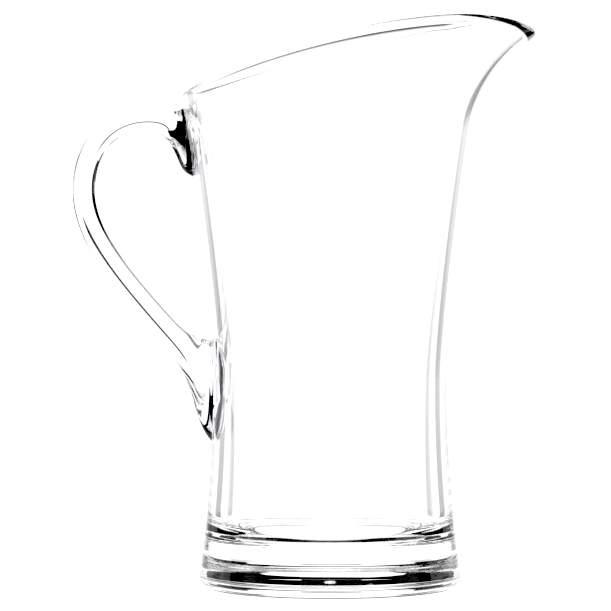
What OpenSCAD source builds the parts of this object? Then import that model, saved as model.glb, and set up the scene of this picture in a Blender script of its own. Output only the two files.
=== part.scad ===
// Clear heavy-based beer pitcher: a waisted round body with a slanted rim and a pulled spout,
// a thick dished base bonded under it, and a solid loop handle bonded to its side.
// Millimetres. The origin is on the body's axis in the resting plane, +Z is up,
// the spout points along +X and the handle along -X.

/* [Rim] */
// Height of the rim on the spout's side, before the spout is pulled out of it
rim_front_z = 255; // [235:0.5:280]
// Height of the rim half way between the handle and the spout
rim_side_z = 243; // [228:0.5:265]
// Height of the rim over the handle
rim_back_z = 221.5; // [219:0.5:240]
// Outer radius at the rim half way between the handle and the spout
rim_r = 70; // [62:0.5:80]

/* [Body] */
// Outer radius of the flared foot, carried down to the resting plane
foot_r = 59.3; // [54:0.1:68]
// Outer radius at the waist
waist_r = 52; // [46:0.5:58]
// Height of the waist
waist_z = 95; // [80:1:110]
// How late the wall flares between waist and rim, 1 being a straight cone
flare_power = 1.4; // [1.1:0.05:2.2]
// Wall at the rim, which ends in a full round
wall_rim_t = 5.2; // [3:0.1:7]
// Wall at the level of the inside floor
wall_floor_t = 9.3; // [5:0.1:12]
// Radius of the inside corner between wall and floor, shared by body and base
corner_r = 13.5; // [6:0.5:18]

/* [Spout] */
// Distance of the spout's tip from the axis
spout_reach = 90.5; // [80:0.5:105]
// Height at which the spout leaves the round wall
spout_start_z = 205; // [185:1:215]
// How sharply the spout curves out, 1 being straight
spout_power = 2.4; // [1.5:0.1:3.5]
// Half of the angle that the spout takes up around the body
spout_half_angle = 50; // [35:1:65]
// Dip of the rim at the middle of the spout
spout_dip = 7; // [0:0.5:9]

/* [Base] */
// Height of the base, up to its joint with the body
base_h = 22.4; // [14:0.1:30]
// Depth of the dish in the base, from the joint down to the inside floor
dish_depth = 3.8; // [2:0.1:5]
// Rounding of the base's lower edge
base_edge_r = 5.5; // [2:0.5:7]
// Edge break on both sides of the joint between base and body
edge_break = 0.4; // [0.2:0.1:1]
// Radius of the shallow recess under the base
recess_r = 45; // [30:0.5:47]
// Depth of that recess
recess_depth = 1; // [0.5:0.1:3]
// Radius of the moulding gate's dimple
gate_r = 1.6; // [1.5:0.1:5]
// Depth of that dimple
gate_depth = 0.5; // [0.4:0.1:2]
// Radius of the gate's trimmed stub in the dimple
stub_r = 0.6; // [0.5:0.1:1.4]
// Height of that stub
stub_h = 0.3; // [0.2:0.1:0.8]

/* [Handle] */
// Distance of the grip's outermost point from the axis
handle_reach = 115; // [104:0.5:130]
// Thickness of the grip in the plane of the loop
grip_t = 10.5; // [8:0.1:14]
// Width of the grip across the loop
grip_w = 16; // [12:0.5:22]
// Width of both feet where they meet the wall
foot_w = 21; // [16:0.5:28]
// Height of the upper foot's top edge
upper_foot_top_z = 214.5; // [208:0.5:217]
// Height of the upper foot's lower edge
upper_foot_low_z = 183.5; // [172:0.5:190]
// Height of the lower foot's top edge
lower_foot_top_z = 110.5; // [104:0.5:118]
// Height of the lower foot's lower edge
lower_foot_low_z = 65; // [56:0.5:72]
// Thickness of both feet where their ends stand off the wall
foot_lip_t = 5; // [3:0.1:7]

/* [Bonds] */
// Thickness of the cured cement in each joint
bond_t = 0.3; // [0.2:0.05:0.5]
// How far the cement stays back from the edges of a joint
bond_inset = 0.6; // [0.3:0.1:2]
// Width of the ring of cement that joins the base to the body
base_bond_w = 3; // [2:0.5:6]

/* [Hidden] */

acrylic = [0.86, 0.91, 0.95, 0.35];
cement = [0.80, 0.86, 0.90, 0.45];

// Facets: angles around the body, rings up each wall, steps of the round edges, sections of the handle
around = 72;
wall_rings = 22;
round_steps = 8;
sections = 64;
section_sides = 28;
foot_rings = 4;
// Clearance that keeps the cement of a foot off the facets of the wall
facet_gap = 0.08;

body_z = base_h + bond_t;
floor_z = base_h - dish_depth;
lip_r = wall_rim_t / 2;
lip_z = rim_side_z - lip_r;
rim_slant = (rim_front_z - rim_back_z) / 2;
rim_crown = rim_side_z - (rim_front_z + rim_back_z) / 2;

// Outer radius of the round body at a height: a parabola below the waist, a flare above it
function outer_r(z) =
    z < waist_z
        ? waist_r + (foot_r - waist_r) * pow(1 - z / waist_z, 2)
        : waist_r + (rim_r - waist_r) * pow((z - waist_z) / (rim_side_z - waist_z), flare_power);

// Wall at a height, thinning from the floor to the rim
function wall_t(z) =
    wall_rim_t
    + (wall_floor_t - wall_rim_t) * pow(max(0, (rim_side_z - z) / (rim_side_z - floor_z)), 2);

// Inside corner: the middle of its round, and a point on it at an angle below the level
turn_z = floor_z + corner_r;
turn_r = outer_r(turn_z) - wall_t(turn_z) - corner_r;
function corner_point(a) = [turn_r + corner_r * cos(a), turn_z - corner_r * sin(a)];
function corner_angle(z) = asin((turn_z - z) / corner_r);

// Radii of the ring on which the body stands on the base
joint_out_r = outer_r(body_z) - edge_break;
joint_in_r = corner_point(corner_angle(body_z + edge_break))[0];

// Share of the spout's pull at an angle from +X
function spout_share(a) = abs(a) < spout_half_angle ? pow(cos(90 * a / spout_half_angle), 3) : 0;

// Height of the rim's crest at an angle
dip_power = 1.6;
function rim_z(a) =
    rim_side_z
    + rim_slant * cos(a)
    - rim_crown * pow(cos(a), 2)
    - spout_dip * pow(spout_share(a), dip_power);

// How far the spout stands out from the round wall at a height
tip_z = rim_z(0) - lip_r;
function spout_pull(z) =
    z < spout_start_z
        ? 0
        : (spout_reach - outer_r(tip_z))
          * pow((z - spout_start_z) / (tip_z - spout_start_z), spout_power);

// A point of the level-rimmed profile, carried to its place at an angle under the slanted rim
function shaped(p, a) =
    let (
        rise = max(0, (p[1] - waist_z) / (rim_side_z - waist_z)),
        z = p[1] + rise * (rim_z(a) - rim_side_z),
        r = p[0] + outer_r(z) - outer_r(p[1]) + spout_pull(z) * spout_share(a)
    )
    [r * cos(a), r * sin(a), z];

// Share of the way up a wall at a share of its rings, which crowd towards the rim
crowding = 1.7;
function crowded(share) = 1 - pow(1 - share, crowding);

// A closed skin over a list of equal rings, closed by a point at each end
module ring_skin(first, rings, last) {
    n = len(rings[0]);
    final = 1 + n * len(rings);
    points = concat([first], [for (ring = rings) each ring], [last]);
    sides = [
        for (k = [0 : len(rings) - 2], i = [0 : n - 1])
            let (a = 1 + k * n + i, b = 1 + k * n + (i + 1) % n)
            each [[a, a + n, b], [b, a + n, b + n]]
    ];
    start_fan = [for (i = [0 : n - 1]) [0, 1 + i, 1 + (i + 1) % n]];
    end_fan = [for (i = [0 : n - 1]) [final, final - n + (i + 1) % n, final - n + i]];
    polyhedron(points, concat(start_fan, sides, end_fan));
}

// A closed skin over a list of equal rings, the last of them joined to the first
module loop_skin(rings) {
    n = len(rings[0]);
    points = [for (ring = rings) each ring];
    faces = [
        for (k = [0 : len(rings) - 1], i = [0 : n - 1])
            let (
                a = k * n + i,
                b = k * n + (i + 1) % n,
                c = (a + n) % len(points),
                d = (b + n) % len(points)
            )
            each [[a, c, b], [b, c, d]]
    ];
    polyhedron(points, faces);
}

// The body's section, from the outer edge of its underside over the rim to the inner edge
module body() {
    low_z = body_z + edge_break;
    outside = [
        for (k = [0 : wall_rings])
            let (z = low_z + (lip_z - low_z) * crowded(k / wall_rings))
            [outer_r(z), z]
    ];
    lip = [
        for (k = [1 : round_steps - 1])
            let (a = 180 * k / round_steps)
            [outer_r(lip_z) - lip_r + lip_r * cos(a), lip_z + lip_r * sin(a)]
    ];
    inside = [
        for (k = [0 : wall_rings])
            let (z = turn_z + (lip_z - turn_z) * crowded(1 - k / wall_rings))
            [outer_r(z) - wall_t(z), z]
    ];
    corner = [for (k = [1 : round_steps]) corner_point(corner_angle(low_z) * k / round_steps)];
    profile = concat(
        [[joint_out_r, body_z]], outside, lip, inside, corner, [[joint_in_r, body_z]]
    );
    rings = [for (p = profile) [for (i = [0 : around - 1]) shaped(p, 360 * i / around - 180)]];
    color(acrylic) loop_skin(rings);
}

// Thick disc that follows the body's flare, its top dished to be the inside floor,
// with a recessed underside and the mould's gate mark
module base() {
    round_r = outer_r(base_edge_r) - base_edge_r;
    gate_top = recess_depth + gate_depth;
    underside = [
        [0, gate_top - stub_h],
        [stub_r, gate_top - stub_h],
        [stub_r, gate_top],
        [gate_r, gate_top],
        [gate_r, recess_depth],
        [recess_r - recess_depth, recess_depth],
        [recess_r, 0]
    ];
    edge = [
        for (k = [0 : round_steps])
            let (a = 90 * k / round_steps)
            [round_r + base_edge_r * sin(a), base_edge_r * (1 - cos(a))]
    ];
    side = [
        for (k = [1 : round_steps])
            let (z = base_edge_r + (base_h - edge_break - base_edge_r) * k / round_steps)
            [outer_r(z), z]
    ];
    dish_edge = corner_angle(base_h);
    dish = [
        for (k = [0 : round_steps])
            corner_point(dish_edge + (90 - dish_edge) * k / round_steps)
    ];
    top = concat([[outer_r(base_h) - edge_break, base_h]], dish, [[0, floor_z]]);
    color(acrylic) rotate_extrude() polygon(concat(underside, edge, side, top));
}

// Ring of cement between base and body
module base_bond() {
    out_r = joint_out_r - bond_inset;
    in_r = out_r - base_bond_w;
    color(cement)
        rotate_extrude()
            polygon([[in_r, base_h], [out_r, base_h], [out_r, body_z], [in_r, body_z]]);
}

// A point in the loop's plane that stands off the cemented wall
function off_wall(z, out) = [-(outer_r(z) + bond_t + out), z];

// Centreline of the grip: share of the reach outwards from the waist, share of the rise between the feet
grip_shape = [
    [0.38, 1.085],
    [0.535, 1.10],
    [0.74, 1.08],
    [0.93, 1.0],
    [1.02, 0.86],
    [1.0, 0.715],
    [0.88, 0.575],
    [0.69, 0.44],
    [0.485, 0.315],
    [0.295, 0.205]
];
upper_foot_z = (upper_foot_top_z + upper_foot_low_z) / 2;
lower_foot_z = (lower_foot_top_z + lower_foot_low_z) / 2;
grip_line = [
    for (p = grip_shape)
        [
            -(waist_r + p[0] * (handle_reach - grip_t / 2 - waist_r)),
            lower_foot_z + p[1] * (upper_foot_z - lower_foot_z)
        ]
];

// The centreline moved sideways in its plane, away from the body where out is positive
function beside_grip(out) = [
    for (i = [0 : len(grip_line) - 1])
        let (
            d = grip_line[min(i + 1, len(grip_line) - 1)] - grip_line[max(i - 1, 0)],
            n = [d[1], -d[0]] / norm(d)
        )
        grip_line[i] + out * n
];

// Edges of the feet, away from the body and towards it: height above the foot's end on that edge
// and stand-off from the wall, both in thicknesses of the foot's lip
upper_foot_outside = [[0, 0], [-0.25, 0.5], [-0.25, 1]];
upper_foot_inside = [[0, 0], [0.5, 1], [2.2, 1.3]];
lower_foot_outside = [[5.3, 2.1], [2.9, 1.65], [0.8, 0.7], [0, 0]];
lower_foot_inside = [[0.5, 1.6], [0.2, 1], [0.1, 0.5], [0, 0]];
function foot_edge(end_z, shape) =
    [for (p = shape) off_wall(end_z + p[0] * foot_lip_t, p[1] * foot_lip_t)];

// Both edges of the handle in the loop's plane, from the upper foot to the lower one
outer_edge = concat(
    foot_edge(upper_foot_top_z, upper_foot_outside),
    beside_grip(grip_t / 2),
    foot_edge(lower_foot_low_z, lower_foot_outside)
);
inner_edge = concat(
    foot_edge(upper_foot_low_z, upper_foot_inside),
    beside_grip(-grip_t / 2),
    foot_edge(lower_foot_top_z, lower_foot_inside)
);

// Point of a smooth curve that starts and ends on its first and last control points, for t from 0 to 1
function along(points, t) =
    let (
        first = points[0],
        last = points[len(points) - 1],
        p = concat([first, first], points, [last, last]),
        spans = len(p) - 3,
        i = min(floor(t * spans), spans - 1),
        f = t * spans - i
    )
    (
        pow(1 - f, 3) * p[i]
        + (3 * pow(f, 3) - 6 * pow(f, 2) + 4) * p[i + 1]
        + (-3 * pow(f, 3) + 3 * pow(f, 2) + 3 * f + 1) * p[i + 2]
        + pow(f, 3) * p[i + 3]
    ) / 6;

// Half of the handle's width along it, from the foot's to the grip's
foot_share = 0.2;
function half_width(t) =
    let (u = min(1, min(t, 1 - t) / foot_share))
    (foot_w + (grip_w - foot_w) * u * u * (3 - 2 * u)) / 2;

// One oval section of the handle between its two edges
function section(t) =
    let (
        outer = along(outer_edge, t),
        inner = along(inner_edge, t),
        middle = (outer + inner) / 2,
        half = (outer - inner) / 2
    )
    [
        for (i = [0 : section_sides - 1])
            let (a = 360 * i / section_sides, p = middle + half * cos(a))
            [p[0], half_width(t) * sin(a), p[1]]
    ];

// Ring of a foot's oval on the wall, stood off by out, at a share of its full size less an inset
function foot_ring(outer_z, inner_z, out, share, inset) =
    [
        for (i = [0 : section_sides - 1])
            let (
                a = 360 * i / section_sides,
                half_z = (abs(outer_z - inner_z) / 2 - inset) * sign(outer_z - inner_z),
                z = (outer_z + inner_z) / 2 + share * half_z * cos(a),
                y = share * (foot_w / 2 - inset) * sin(a),
                r = outer_r(z) + out
            )
            [-sqrt(r * r - y * y), y, z]
    ];
function foot_face(outer_z, inner_z, out, inset) =
    [for (k = [1 : foot_rings]) foot_ring(outer_z, inner_z, out, k / foot_rings, inset)];
function foot_middle(outer_z, inner_z, out) =
    let (z = (outer_z + inner_z) / 2)
    [-(outer_r(z) + out), 0, z];

function reversed(list) = [for (i = [len(list) - 1 : -1 : 0]) list[i]];

// Solid loop with a long oval foot at each end
module handle() {
    middles = [for (k = [1 : sections - 1]) section(k / sections)];
    rings = concat(
        foot_face(upper_foot_top_z, upper_foot_low_z, bond_t, 0),
        middles,
        reversed(foot_face(lower_foot_low_z, lower_foot_top_z, bond_t, 0))
    );
    color(acrylic)
        ring_skin(
            foot_middle(upper_foot_top_z, upper_foot_low_z, bond_t),
            rings,
            foot_middle(lower_foot_low_z, lower_foot_top_z, bond_t)
        );
}

// Film of cement between a foot of the handle and the wall
module foot_bond(outer_z, inner_z) {
    color(cement)
        ring_skin(
            foot_middle(outer_z, inner_z, facet_gap),
            concat(
                foot_face(outer_z, inner_z, facet_gap, bond_inset),
                reversed(foot_face(outer_z, inner_z, bond_t, bond_inset))
            ),
            foot_middle(outer_z, inner_z, bond_t)
        );
}

module upper_handle_bond() {
    foot_bond(upper_foot_top_z, upper_foot_low_z);
}

module lower_handle_bond() {
    foot_bond(lower_foot_top_z, lower_foot_low_z);
}

body();
base();
base_bond();
handle();
upper_handle_bond();
lower_handle_bond();
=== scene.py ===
# A clear acrylic beer pitcher in a white studio.
# The body, base and handle are rebuilt smooth where the frame has them; the films of cement are the frame's own.
import math

import bmesh
import bpy
from mathutils import Matrix, Vector


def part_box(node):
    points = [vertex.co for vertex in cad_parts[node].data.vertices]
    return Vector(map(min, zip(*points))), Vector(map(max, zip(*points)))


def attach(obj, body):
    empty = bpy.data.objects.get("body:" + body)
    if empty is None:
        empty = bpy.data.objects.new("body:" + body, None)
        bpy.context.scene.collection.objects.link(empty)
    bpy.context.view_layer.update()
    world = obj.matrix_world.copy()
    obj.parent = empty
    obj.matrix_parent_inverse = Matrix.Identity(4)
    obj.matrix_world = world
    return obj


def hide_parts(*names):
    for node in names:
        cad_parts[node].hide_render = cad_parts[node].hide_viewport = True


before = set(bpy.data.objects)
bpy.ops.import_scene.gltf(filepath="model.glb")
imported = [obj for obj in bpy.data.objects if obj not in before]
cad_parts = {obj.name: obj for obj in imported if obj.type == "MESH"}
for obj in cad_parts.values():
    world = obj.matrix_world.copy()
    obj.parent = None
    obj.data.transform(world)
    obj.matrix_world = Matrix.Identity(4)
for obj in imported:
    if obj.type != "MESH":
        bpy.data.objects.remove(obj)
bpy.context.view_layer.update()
mm = 0.001  # all shapes are written in millimetres and scaled once
onSurface = 0.01  # mm within which a vertex counts as lying on a surface
print("frame loaded:", ", ".join(sorted(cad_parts)))

# Materials

def srgb(code):
    channels = [int(code[i:i + 2], 16) / 255 for i in (1, 3, 5)]
    linear = [c / 12.92 if c <= 0.04045 else ((c + 0.055) / 1.055) ** 2.4 for c in channels]
    return (*linear, 1.0)


def addNode(tree, kind, settings=None, feeds=(), **links):
    node = tree.nodes.new(kind)
    for name, value in (settings or {}).items():
        if name in node.inputs:
            node.inputs[name].default_value = value
        else:
            setattr(node, name, value)
    for socket, feed in zip(node.inputs, feeds):  # sockets in order, for nodes whose inputs share a name
        if isinstance(feed, bpy.types.NodeSocket):
            tree.links.new(feed, socket)
        else:
            socket.default_value = feed
    for name, source in links.items():
        tree.links.new(source, node.inputs[name.replace("_", " ")])
    return node


def newMaterial(name):
    material = bpy.data.materials.new(name)
    material.use_nodes = True
    material.node_tree.nodes.clear()
    return material, material.node_tree


acrylicFinish = {
    "colour": "#fefefe",
    "ior": 1.49,
    "roughness": (0.0, 0.02),  # polished mould, from the clearest to the dullest patch
    "patch": 30,               # mm, size of the patches where the polish varies
    "patchRange": (0.35, 0.75),  # of the noise, from the clearest to the dullest patch
    "ripple": 24,              # mm, length of the moulding's slow ripples
    "rippleHeight": 0.004,     # mm
}


def clearAcrylic():
    # Clear PMMA from a polished mould: bends light strongly, no grain, only slow ripples in the gloss
    look = acrylicFinish
    material, tree = newMaterial("clear moulded acrylic")
    place = addNode(tree, "ShaderNodeTexCoord").outputs["Object"]
    patches = addNode(tree, "ShaderNodeTexNoise", {"Scale": 1 / (look["patch"] * mm), "Detail": 3.0}, Vector=place)
    polish = addNode(tree, "ShaderNodeMapRange", {
        "From Min": look["patchRange"][0], "From Max": look["patchRange"][1],
        "To Min": look["roughness"][0], "To Max": look["roughness"][1],
    }, Value=patches.outputs["Fac"])
    waves = addNode(tree, "ShaderNodeTexNoise", {"Scale": 1 / (look["ripple"] * mm), "Detail": 1.0}, Vector=place)
    ripple = addNode(tree, "ShaderNodeBump", {
        "Strength": 1.0, "Distance": look["rippleHeight"] * mm,
    }, Height=waves.outputs["Fac"])
    shader = addNode(tree, "ShaderNodeBsdfPrincipled", {
        "Base Color": srgb(look["colour"]), "IOR": look["ior"], "Transmission Weight": 1.0,
    }, Roughness=polish.outputs["Result"], Normal=ripple.outputs["Normal"])
    addNode(tree, "ShaderNodeOutputMaterial", Surface=shader.outputs["BSDF"])
    return material


def cementedFace():
    # Acrylic cemented to acrylic: the joint has one index all through, so the face under the film bends no light
    material, tree = newMaterial("cemented acrylic face")
    shader = addNode(tree, "ShaderNodeBsdfTransparent", {"Color": srgb("#ffffff")})
    addNode(tree, "ShaderNodeOutputMaterial", Surface=shader.outputs["BSDF"])
    return material


cementFinish = {"thin": "#ffffff", "thick": "#f8f8fc", "cloud": 7}  # cloud in mm


def curedCement():
    # Cured acrylic cement between two faces: no boundary of its own, only faint clouds where it lies thicker
    look = cementFinish
    material, tree = newMaterial("cured acrylic cement")
    place = addNode(tree, "ShaderNodeTexCoord").outputs["Object"]
    clouds = addNode(tree, "ShaderNodeTexNoise", {"Scale": 1 / (look["cloud"] * mm), "Detail": 2.0}, Vector=place)
    tint = addNode(tree, "ShaderNodeValToRGB", Fac=clouds.outputs["Fac"])
    tint.color_ramp.elements[0].color = srgb(look["thin"])
    tint.color_ramp.elements[1].color = srgb(look["thick"])
    shader = addNode(tree, "ShaderNodeBsdfTransparent", Color=tint.outputs["Color"])
    addNode(tree, "ShaderNodeOutputMaterial", Surface=shader.outputs["BSDF"])
    return material


acrylic = clearAcrylic()
cemented = cementedFace()
cement = curedCement()
print("materials ready")

# Shapes that several pieces share

body = {
    "rimFront": 255, "rimSide": 243, "rimBack": 221.5, "rimRadius": 70,
    "footRadius": 59.3, "waistRadius": 52, "waistHeight": 95, "flare": 1.4,
    "rimWall": 5.2, "floorWall": 9.3, "corner": 13.5,
    "spoutReach": 90.5, "spoutStart": 205, "spoutCurve": 2.4,
    "spoutHalfAngle": 50, "spoutDip": 7, "dipCurve": 1.6,
    "edgeBreak": 0.4,
    "around": 200, "outsideRings": 156, "insideRings": 96, "cornerRings": 12, "lipRings": 16,
    "crowding": 0.6,  # how much closer the columns of facets stand at the handle and the spout
    "filmBand": 0.035,  # share of a film's size within which facets are drawn to its outline
}
bond = {"thickness": 0.3, "inset": 0.6, "ring": 3}
dish = 3.8  # depth of the base's dish, from the joint down to the inside floor
bodyLow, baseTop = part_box("body")[0].z / mm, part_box("base")[1].z / mm
floorHeight = baseTop - dish
lipRadius = body["rimWall"] / 2
lipHeight = body["rimSide"] - lipRadius


def outerRadius(z):
    spread = body["footRadius"] - body["waistRadius"]
    if z < body["waistHeight"]:
        return body["waistRadius"] + spread * (1 - z / body["waistHeight"]) ** 2
    rise = (z - body["waistHeight"]) / (body["rimSide"] - body["waistHeight"])
    return body["waistRadius"] + (body["rimRadius"] - body["waistRadius"]) * rise ** body["flare"]


def wallThickness(z):
    depth = max(0, (body["rimSide"] - z) / (body["rimSide"] - floorHeight))
    return body["rimWall"] + (body["floorWall"] - body["rimWall"]) * depth ** 2


turnHeight = floorHeight + body["corner"]
turnRadius = outerRadius(turnHeight) - wallThickness(turnHeight) - body["corner"]


def cornerPoint(a):
    # The inside corner between wall and floor, at an angle below the level
    return turnRadius + body["corner"] * math.cos(a), turnHeight - body["corner"] * math.sin(a)


def cornerAngle(z):
    return math.asin((turnHeight - z) / body["corner"])


# Ring on which the body stands on the base, and the film of cement inside it
jointOut = outerRadius(bodyLow) - body["edgeBreak"]
jointIn = cornerPoint(cornerAngle(bodyLow + body["edgeBreak"]))[0]
filmOut = jointOut - bond["inset"]
filmIn = filmOut - bond["ring"]


def underFilm(face, level):
    return all(
        abs(v.co.z - level) < onSurface and filmIn - onSurface < v.co.xy.length < filmOut + onSurface
        for v in face.verts
    )


def onWall(y, z, standOff):
    return -math.sqrt((outerRadius(z) + standOff) ** 2 - y ** 2)  # x on the handle's side


def spunPiece(profile, count, closed=False):
    bm = bmesh.new()
    line = [bm.verts.new((r, 0, z)) for r, z in profile]
    edges = [bm.edges.new(pair) for pair in zip(line, line[1:])]
    if closed:
        edges += [bm.edges.new((line[-1], line[0]))]
    bmesh.ops.spin(
        bm, geom=line + edges, cent=(0, 0, 0), axis=(0, 0, 1), angle=2 * math.pi, steps=count, use_merge=True
    )
    bmesh.ops.remove_doubles(bm, verts=bm.verts, dist=1e-4)
    bmesh.ops.recalc_face_normals(bm, faces=bm.faces)
    return bm


def finishPiece(name, bm, materials, sharpAngle=35):
    bmesh.ops.scale(bm, vec=(mm, mm, mm), verts=bm.verts)
    mesh = bpy.data.meshes.new(name)
    bm.to_mesh(mesh)
    bm.free()
    for material in materials:
        mesh.materials.append(material)
    mesh.shade_smooth()
    mesh.set_sharp_from_angle(angle=math.radians(sharpAngle))
    piece = bpy.data.objects.new(name, mesh)
    bpy.context.scene.collection.objects.link(piece)
    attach(piece, "root")
    print("made", name, "with", len(mesh.polygons), "faces")
    return piece


# Body

def spoutShare(a):
    half = math.radians(body["spoutHalfAngle"])
    return math.cos(math.pi / 2 * a / half) ** 3 if abs(a) < half else 0.0


def rimHeight(a):
    slant = (body["rimFront"] - body["rimBack"]) / 2
    crown = body["rimSide"] - (body["rimFront"] + body["rimBack"]) / 2
    dip = body["spoutDip"] * spoutShare(a) ** body["dipCurve"]
    return body["rimSide"] + slant * math.cos(a) - crown * math.cos(a) ** 2 - dip


tipHeight = rimHeight(0) - lipRadius


def spoutPull(z):
    if z < body["spoutStart"]:
        return 0.0
    rise = (z - body["spoutStart"]) / (tipHeight - body["spoutStart"])
    return (body["spoutReach"] - outerRadius(tipHeight)) * rise ** body["spoutCurve"]


def shaped(r, z, a):
    rise = max(0, (z - body["waistHeight"]) / (body["rimSide"] - body["waistHeight"]))
    level = z + rise * (rimHeight(a) - body["rimSide"])
    reach = r + outerRadius(level) - outerRadius(z) + spoutPull(level) * spoutShare(a)
    return Vector((reach * math.cos(a), reach * math.sin(a), level))


def steps(low, high, count):
    return [low + (high - low) * k / count for k in range(count + 1)]


def bodyProfile():
    # Once round the section of the open body, from the inner edge of its underside over the rim
    low = bodyLow + body["edgeBreak"]
    lipCentre = outerRadius(lipHeight) - lipRadius
    line = [(jointIn, bodyLow), (filmIn, bodyLow), (filmOut, bodyLow), (jointOut, bodyLow)]
    line += [(outerRadius(z), z) for z in steps(low, lipHeight, body["outsideRings"])]
    for a in steps(0, math.pi, body["lipRings"])[1:-1]:
        line += [(lipCentre + lipRadius * math.cos(a), lipHeight + lipRadius * math.sin(a))]
    line += [(outerRadius(z) - wallThickness(z), z) for z in steps(lipHeight, turnHeight, body["insideRings"])]
    line += [cornerPoint(a) for a in steps(0, cornerAngle(low), body["cornerRings"])[1:]]
    return line


handle = {
    "reach": 115, "gripThickness": 10.5, "gripWidth": 16, "footWidth": 21, "lip": 5,
    "upperTop": 214.5, "upperLow": 183.5, "lowerTop": 110.5, "lowerLow": 65,
    "footShare": 0.2,  # share of its length over which each foot narrows to the grip
    "stations": 192, "sides": 72, "faceRings": (0.8, 0.55, 0.3, 0.1), "settle": 0.06,
    # Centreline of the grip: share of the reach outwards from the waist, share of the rise between the feet
    "line": [
        (0.38, 1.085), (0.535, 1.10), (0.74, 1.08), (0.93, 1.0), (1.02, 0.86),
        (1.0, 0.715), (0.88, 0.575), (0.69, 0.44), (0.485, 0.315), (0.295, 0.205),
    ],
    # Edges of the feet: height above the foot's end and stand-off from the wall, in thicknesses of the lip
    "upperOutside": [(0, 0), (-0.25, 0.5), (-0.25, 1)],
    "upperInside": [(0, 0), (0.5, 1), (2.2, 1.3)],
    "lowerOutside": [(5.3, 2.1), (2.9, 1.65), (0.8, 0.7), (0, 0)],
    "lowerInside": [(0.5, 1.6), (0.2, 1), (0.1, 0.5), (0, 0)],
}
feet = [(handle["upperTop"], handle["upperLow"]), (handle["lowerLow"], handle["lowerTop"])]


def footShareAt(y, z, foot, inset):
    middle, half = (foot[0] + foot[1]) / 2, abs(foot[0] - foot[1]) / 2
    return math.hypot(y / (handle["footWidth"] / 2 - inset), (z - middle) / (half - inset))


def makeBody():
    bm = spunPiece(bodyProfile(), body["around"], closed=True)
    outside = []
    for vert in bm.verts:
        r, a = math.hypot(vert.co.x, vert.co.y), math.atan2(vert.co.y, vert.co.x)
        if abs(r - outerRadius(vert.co.z)) < onSurface:
            outside.append(vert)
        vert.co = shaped(r, vert.co.z, a - body["crowding"] * math.sin(2 * a) / 2)
    # Facets beside each film of cement are drawn to its outline, and those inside it are cemented
    for vert in outside:
        for foot in feet:
            share = footShareAt(vert.co.y, vert.co.z, foot, bond["inset"])
            if vert.co.x < 0 and abs(share - 1) < body["filmBand"]:
                middle = (foot[0] + foot[1]) / 2
                y, z = vert.co.y / share, middle + (vert.co.z - middle) / share
                vert.co = (onWall(y, z, 0), y, z)
    wall = set(outside)
    for face in bm.faces:
        if underFilm(face, bodyLow):
            face.material_index = 1
        elif all(v in wall and v.co.x < 0 for v in face.verts):
            centre = face.calc_center_median()
            if any(footShareAt(centre.y, centre.z, foot, bond["inset"]) < 1 for foot in feet):
                face.material_index = 1
    piece = finishPiece("pitcher_body", bm, [acrylic, cemented])
    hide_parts("body")


# Base

base = {
    "edgeRadius": 5.5, "recessRadius": 45, "recess": 1, "gateRadius": 1.6, "gate": 0.5, "stubRadius": 0.6, "stub": 0.3,
    "around": 200, "edgeRings": 16, "sideRings": 20, "faceRings": 10, "dishRings": 12,
    "sharp": 30, "soften": 0.15,  # edges over so many degrees are rounded by so many mm
    "margin": 0.4,  # narrow rings beside the softened edges, which keep the flat faces flat in the shading
}


def flatRing(start, end, z):
    margin = math.copysign(base["margin"], end - start)
    return [(start, z), *((r, z) for r in steps(start + margin, end - margin, base["faceRings"])), (end, z)]


def makeBase():
    edge, recess = body["edgeBreak"], base["recess"]
    roundRadius = outerRadius(base["edgeRadius"]) - base["edgeRadius"]
    gateTop = recess + base["gate"]
    line = [(0, gateTop - base["stub"]), (base["stubRadius"], gateTop - base["stub"])]
    line += [(base["stubRadius"], gateTop), (base["gateRadius"], gateTop)]
    line += flatRing(base["gateRadius"], base["recessRadius"] - recess, recess)
    line += flatRing(base["recessRadius"], roundRadius, 0)
    for a in steps(0, math.pi / 2, base["edgeRings"])[1:]:
        line += [(roundRadius + base["edgeRadius"] * math.sin(a), base["edgeRadius"] * (1 - math.cos(a)))]
    line += [(outerRadius(z), z) for z in steps(base["edgeRadius"], baseTop - edge, base["sideRings"])[1:]]
    line += [(outerRadius(baseTop) - edge, baseTop), (filmOut, baseTop)]
    dishAngles = steps(cornerAngle(baseTop), math.pi / 2, base["dishRings"])
    line += flatRing(filmIn, cornerPoint(dishAngles[0])[0], baseTop)
    line += [cornerPoint(a) for a in dishAngles[1:]]
    line += [(r, floorHeight) for r in steps(turnRadius, 0, base["faceRings"])[1:]]
    bm = spunPiece(line, base["around"])
    sharp = [e for e in bm.edges if e.is_manifold and e.calc_face_angle() > math.radians(base["sharp"])]
    bmesh.ops.bevel(
        bm, geom=sharp, offset=base["soften"], affect="EDGES", segments=3, profile=0.5, material=-1,
        clamp_overlap=True,
    )
    for face in bm.faces:
        if underFilm(face, baseTop):
            face.material_index = 1
    piece = finishPiece("pitcher_base", bm, [acrylic, cemented])
    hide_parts("base")


# Handle

def offWall(z, out):
    return Vector((-(outerRadius(z) + bond["thickness"] + out), z))


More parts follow.
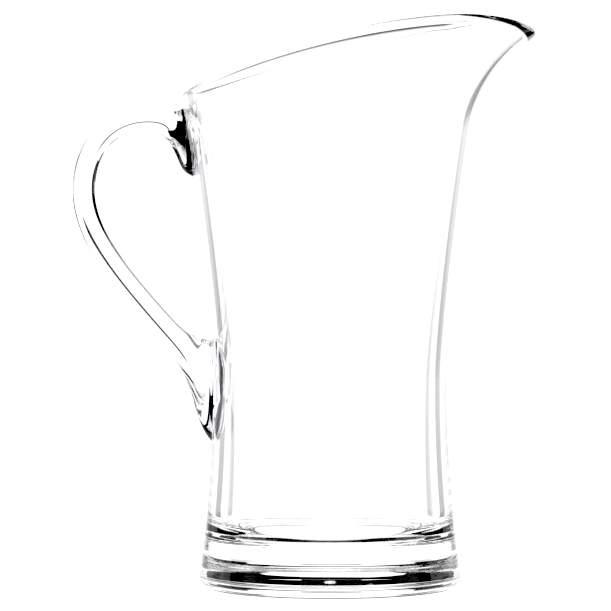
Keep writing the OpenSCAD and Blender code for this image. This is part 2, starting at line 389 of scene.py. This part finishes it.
def handleEdges():
    upper, lower = [(foot[0] + foot[1]) / 2 for foot in feet]
    span = handle["reach"] - handle["gripThickness"] / 2 - body["waistRadius"]
    line = [
        Vector((-(body["waistRadius"] + out * span), lower + rise * (upper - lower)))
        for out, rise in handle["line"]
    ]

    def beside(out):
        points = []
        for i, point in enumerate(line):
            run = (line[min(i + 1, len(line) - 1)] - line[max(i - 1, 0)]).normalized()
            points.append(point + out * Vector((run.y, -run.x)))
        return points

    def footEdge(end, shape):
        return [offWall(end + rise * handle["lip"], out * handle["lip"]) for rise, out in shape]

    half = handle["gripThickness"] / 2
    outer = footEdge(feet[0][0], handle["upperOutside"]) + beside(half) + footEdge(feet[1][0], handle["lowerOutside"])
    inner = footEdge(feet[0][1], handle["upperInside"]) + beside(-half) + footEdge(feet[1][1], handle["lowerInside"])
    return outer, inner


def along(points, t):
    # Uniform cubic spline that starts and ends on its first and last points
    p = [points[0]] * 2 + points + [points[-1]] * 2
    spans = len(p) - 3
    i = min(int(t * spans), spans - 1)
    f = t * spans - i
    weights = ((1 - f) ** 3, 3 * f ** 3 - 6 * f ** 2 + 4, -3 * f ** 3 + 3 * f ** 2 + 3 * f + 1, f ** 3)
    return sum((w * q for w, q in zip(weights, p[i:i + 4])), Vector((0, 0))) / 6


def stationMatrix(outer, inner, t):
    far, near = along(outer, t), along(inner, t)
    middle, half = (far + near) / 2, (far - near) / 2
    ease = min(1, min(t, 1 - t) / handle["footShare"])
    blend = ease * ease * (3 - 2 * ease)
    width = (handle["footWidth"] + (handle["gripWidth"] - handle["footWidth"]) * blend) / 2
    across = Vector((half.x, 0, half.y))
    return Matrix.Translation((middle.x, 0, middle.y)) @ Matrix((
        (across.x, 0, across.z, 0), (0, width, 0, 0), (across.z, 0, -across.x, 0), (0, 0, 0, 1),
    ))


def settleOnWall(verts, share):
    # Near a foot the ovals bend round the wall that they are cemented to
    for vert in verts:
        level = vert.co.z
        bend = onWall(vert.co.y, level, bond["thickness"]) - onWall(0, level, bond["thickness"])
        vert.co.x += share * bend


def grow(bm, ring, matrix):
    made = bmesh.ops.extrude_edge_only(bm, edges=ring)["geom"]
    verts = [v for v in made if isinstance(v, bmesh.types.BMVert)]
    bmesh.ops.transform(bm, matrix=matrix, verts=verts)
    return [e for e in made if isinstance(e, bmesh.types.BMEdge)], verts


def closeFoot(bm, ring, foot):
    # The face against the wall: a bare margin, then the cemented oval, ring by ring to its middle
    middle, half = (foot[0] + foot[1]) / 2, abs(foot[0] - foot[1]) / 2
    width = handle["footWidth"] / 2
    sizes = [(half - bond["inset"], width - bond["inset"])]
    sizes += [(s * sizes[0][0], s * sizes[0][1]) for s in handle["faceRings"]]
    last = (half, width)
    faces = set(bm.faces)
    for k, (tall, wide) in enumerate(sizes):
        scale = Matrix.Translation((0, 0, middle)) @ Matrix.Diagonal((1, wide / last[1], tall / last[0], 1))
        ring, verts = grow(bm, ring, scale @ Matrix.Translation((0, 0, -middle)))
        for vert in verts:
            vert.co.x = onWall(vert.co.y, vert.co.z, bond["thickness"])
        if k == 0:
            faces = set(bm.faces)
        last = (tall, wide)
    bmesh.ops.contextual_create(bm, geom=ring)
    for face in set(bm.faces) - faces:
        face.material_index = 1


def makeHandle():
    outer, inner = handleEdges()
    bm = bmesh.new()
    before = stationMatrix(outer, inner, 0)
    bmesh.ops.create_circle(bm, cap_ends=False, segments=handle["sides"], radius=1, matrix=before)
    firstRing = ring = list(bm.edges)
    rows = [(0, list(bm.verts))]
    for t in steps(0, 1, handle["stations"])[1:]:
        matrix = stationMatrix(outer, inner, t)
        ring, verts = grow(bm, ring, matrix @ before.inverted())
        rows.append((t, verts))
        before = matrix
    for t, verts in rows:
        near = max(0, 1 - min(t, 1 - t) / handle["settle"])
        settleOnWall(verts, near * near * (3 - 2 * near))
    for vertRow, foot in ((rows[0][1], feet[0]), (rows[-1][1], feet[1])):
        for vert in vertRow:
            vert.co.x = onWall(vert.co.y, vert.co.z, bond["thickness"])
    closeFoot(bm, firstRing, feet[0])
    closeFoot(bm, ring, feet[1])
    bmesh.ops.recalc_face_normals(bm, faces=bm.faces)
    piece = finishPiece("pitcher_handle", bm, [acrylic, cemented], sharpAngle=50)
    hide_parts("handle")


makeBody()
makeBase()
makeHandle()

# Films of cement

for name in ("base_bond", "upper_handle_bond", "lower_handle_bond"):
    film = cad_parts[name]
    film.data.materials.clear()
    film.data.materials.append(cement)
print("films of cement dressed")

# Studio

studio = {
    "floorGap": 0.2,  # mm that the floor lies under the base, so that no two faces coincide
    "floorRadius": 150,
    "floorSides": 96,
    "floorColour": "#ffffff",
    "contactShadowRing": (41.5, 43, 53, 54.5),  # mm from the axis: the shade right under the ring that the base stands on
    "white": 1.25,           # floor and backdrop, bright enough that faint reflections don't grey them
    "shade": 0.01,           # dark flags, which draw the lines in the clear acrylic; also the level of the floor's painted contact shadow
    "stripSide": (22, 26, 36, 40),  # degrees from the nearest axis: grey strips that draw the body's outline
    "stripTone": 0.35,              # how dark they are
    "lowTone": 0.4,                 # how much darker they get low down behind the pitcher
    "lowFade": (-7, -2),            # degrees above the horizon
    "lowSide": (45, 50),            # degrees from straight behind
    "flagFoot": (3.8, 4.6),  # lower edge of the flags, degrees above the horizon, where the strips end
    "flagTop": 6.2,          # upper edge of the flags near the axes, degrees above the horizon
    "flagRise": 0.55,        # degrees that the edge rises for each degree from the axis, further out
    "flagGap": (8, 9, 27, 29),  # degrees from the nearest axis: no flag hangs between these soft edges
    "flagBlur": 0.12,        # softness of the upper edge, as a share of its height
    "upperSide": (23, 26),   # dark flags higher up, between the axes: degrees from the nearest axis
    "upperFoot": (22, 26),   # their edges, degrees above the horizon
    "upperTop": (52, 60),
    "blackLevel": 0.1,       # levels, as the photo's blacks and whites are both clipped
    "bounces": {"max_bounces": 32, "transmission_bounces": 32, "glossy_bounces": 16, "transparent_max_bounces": 32},
}


def paleFloor():
    look = studio
    material, tree = newMaterial("white light table")
    place = addNode(tree, "ShaderNodeTexCoord").outputs["Object"]
    far = addNode(tree, "ShaderNodeVectorMath", {"operation": "LENGTH"}, feeds=(place,)).outputs["Value"]
    # Painted contact shadow: the floor's glow is dimmed to the flags' dark level in a ring right under the base's
    # contact face
    ring = look["contactShadowRing"]
    within = addNode(tree, "ShaderNodeMapRange", {
        "From Min": ring[2] * mm, "From Max": ring[3] * mm, "To Min": look["shade"], "To Max": look["white"],
    }, Value=far)
    beyond = addNode(tree, "ShaderNodeMapRange", {
        "From Min": ring[0] * mm, "From Max": ring[1] * mm, "To Min": look["white"], "To Max": look["shade"],
    }, Value=far)
    glow = addNode(tree, "ShaderNodeMath", {"operation": "MAXIMUM"}, feeds=(
        within.outputs["Result"], beyond.outputs["Result"],
    ))
    shader = addNode(tree, "ShaderNodeEmission", {"Color": srgb(look["floorColour"])}, Strength=glow.outputs["Value"])
    addNode(tree, "ShaderNodeOutputMaterial", Surface=shader.outputs["Emission"])
    bm = bmesh.new()
    bmesh.ops.create_circle(bm, cap_ends=True, segments=look["floorSides"], radius=look["floorRadius"] * mm)
    bmesh.ops.translate(bm, vec=(0, 0, -look["floorGap"] * mm), verts=bm.verts)
    mesh = bpy.data.meshes.new("floor")
    bm.to_mesh(mesh)
    bm.free()
    mesh.materials.append(material)
    floor = bpy.data.objects.new("floor", mesh)
    bpy.context.scene.collection.objects.link(floor)


def studioWorld():
    world = bpy.data.worlds.new("studio")
    bpy.context.scene.world = world
    world.use_nodes = True
    tree = world.node_tree
    tree.nodes.clear()
    way = addNode(tree, "ShaderNodeSeparateXYZ", Vector=addNode(tree, "ShaderNodeTexCoord").outputs["Generated"])
    x, y, z = (way.outputs[axis] for axis in "XYZ")

    def ramp(value, start, end, low=0.0, high=1.0):
        return addNode(tree, "ShaderNodeMapRange", {
            "interpolation_type": "SMOOTHSTEP", "From Min": start, "From Max": end, "To Min": low, "To Max": high,
        }, Value=value).outputs["Result"]

    def reckon(operation, *values):
        return addNode(tree, "ShaderNodeMath", {"operation": operation}, feeds=values).outputs["Value"]

    bearing = reckon("DEGREES", reckon("ARCTAN2", x, y))
    rise = reckon("DEGREES", reckon("ARCSINE", z))
    off = reckon("PINGPONG", bearing, 45.0)  # degrees from the nearest axis
    inner, outer = ramp(off, *studio["flagGap"][:2], 1.0, 0.0), ramp(off, *studio["flagGap"][2:])
    top = reckon("MAXIMUM", reckon("MULTIPLY", off, studio["flagRise"]), studio["flagTop"])
    under = ramp(reckon("DIVIDE", rise, top), 1 - studio["flagBlur"], 1 + studio["flagBlur"], 1.0, 0.0)
    flag = reckon("MULTIPLY", reckon("MULTIPLY", under, ramp(rise, *studio["flagFoot"])), reckon("ADD", inner, outer))
    upper = reckon("MULTIPLY", ramp(rise, *studio["upperFoot"]), ramp(rise, *studio["upperTop"], 1.0, 0.0))
    upper = reckon("MULTIPLY", upper, ramp(off, *studio["upperSide"]))
    strip = reckon("MULTIPLY", ramp(off, *studio["stripSide"][:2]), ramp(off, *studio["stripSide"][2:], 1.0, 0.0))
    low = ramp(rise, *studio["lowFade"], studio["lowTone"], 0.0)
    low = reckon("MULTIPLY", low, ramp(reckon("ABSOLUTE", bearing), *studio["lowSide"], 1.0, 0.0))
    strip = reckon("MULTIPLY", strip, reckon("ADD", low, studio["stripTone"]))
    strip = reckon("MULTIPLY", strip, ramp(rise, *studio["flagFoot"], 1.0, 0.0))
    dark = reckon("MAXIMUM", reckon("MAXIMUM", flag, upper), strip)
    shaded = reckon("MULTIPLY_ADD", dark, studio["white"] * (studio["shade"] - 1), studio["white"])
    direct = addNode(tree, "ShaderNodeLightPath").outputs["Is Camera Ray"]  # the backdrop itself is plain white
    seen = reckon("MULTIPLY_ADD", direct, reckon("SUBTRACT", studio["white"], shaded), shaded)
    light = addNode(tree, "ShaderNodeBackground", {"Color": srgb("#ffffff")}, Strength=seen)
    addNode(tree, "ShaderNodeOutputWorld", Surface=light.outputs["Background"])


def post(radius, bearing, low, top, centre=0):
    turn = math.radians(bearing)  # clockwise from straight behind
    return centre + radius * math.sin(turn), radius * math.cos(turn), low, top


# Cards of black board that the camera doesn't see: posts of x, y, low and top in mm.
# Each shows only to rays that passed at most one clear piece and came so many mm from it
boardColour = "#060606"
pieceFaces = 2.5  # a clear piece has a face in and a face out
cards = {
    "base card": {"posts": [post(95, b, 10, t) for b, t in (
        (-25, 30), (-10, 40), (-6, 28), (-3, 17), (0, 12), (3, 17), (6, 28), (10, 40), (25, 30),
    )], "reach": (0, 52)},
    "grip card": {"posts": [post(80, b, 115, 205, -100) for b in (-40, -33, -26)], "reach": (45, 110)},
    "upper foot card": {"posts": [(-66, 50, 188, 213), (-44, 50, 188, 213)], "reach": (30, 65)},
}


def blackCards():
    for name, card in cards.items():
        material, tree = newMaterial("matt black board")
        board = addNode(tree, "ShaderNodeBsdfDiffuse", {"Color": srgb(boardColour)}).outputs["BSDF"]
        clear = addNode(tree, "ShaderNodeBsdfTransparent").outputs["BSDF"]
        path = addNode(tree, "ShaderNodeLightPath").outputs
        nearest, furthest = card["reach"]
        tests = (
            ("GREATER_THAN", path["Transmission Depth"], pieceFaces),
            ("LESS_THAN", path["Ray Length"], nearest * mm),
            ("GREATER_THAN", path["Ray Length"], furthest * mm),
        )
        missed = 0.0
        for kind, value, limit in tests:
            test = addNode(tree, "ShaderNodeMath", {"operation": kind}, feeds=(value, limit)).outputs["Value"]
            missed = addNode(tree, "ShaderNodeMath", {"operation": "MAXIMUM"}, feeds=(test, missed)).outputs["Value"]
        shader = addNode(tree, "ShaderNodeMixShader", feeds=(missed, board, clear))
        addNode(tree, "ShaderNodeOutputMaterial", Surface=shader.outputs["Shader"])
        bm = bmesh.new()
        edge = None
        for x, y, low, top in card["posts"]:
            if edge is None:
                pair = [bm.verts.new((0, 0, 0)), bm.verts.new((0, 0, 1))]
                edge = bm.edges.new(pair)
            else:
                made = bmesh.ops.extrude_edge_only(bm, edges=[edge])["geom"]
                pair = sorted((item for item in made if isinstance(item, bmesh.types.BMVert)), key=lambda v: v.co.z)
                edge = bm.edges.get(pair)
            for vert, z in zip(pair, (low, top)):
                vert.co = Vector((x, y, z)) * mm
        mesh = bpy.data.meshes.new(name)
        bm.to_mesh(mesh)
        bm.free()
        mesh.materials.append(material)
        shown = bpy.data.objects.new(name, mesh)
        shown.visible_camera = False
        bpy.context.scene.collection.objects.link(shown)


photoView = {"x": -11, "distance": 1480, "height": 142, "aimHeight": 126, "fieldWidth": 273.7, "sensor": 36}


def photoCamera():
    view = photoView
    data = bpy.data.cameras.new("photo camera")
    data.sensor_width = view["sensor"]
    place = Vector((view["x"], -view["distance"], view["height"])) * mm
    aim = Vector((view["x"], 0, view["aimHeight"])) * mm
    data.lens = data.sensor_width * (aim - place).length / (view["fieldWidth"] * mm)
    camera = bpy.data.objects.new("photo camera", data)
    camera.location = place
    camera.rotation_euler = (aim - place).to_track_quat("-Z", "Y").to_euler()
    bpy.context.scene.collection.objects.link(camera)
    bpy.context.scene.camera = camera


paleFloor()
studioWorld()
blackCards()
photoCamera()
scene = bpy.context.scene
scene.view_settings.view_transform = "Standard"
scene.view_settings.use_curve_mapping = True
scene.view_settings.curve_mapping.black_level = [studio["blackLevel"]] * 3
scene.view_settings.curve_mapping.update()
for name, count in studio["bounces"].items():
    setattr(scene.cycles, name, count)
print("studio ready")
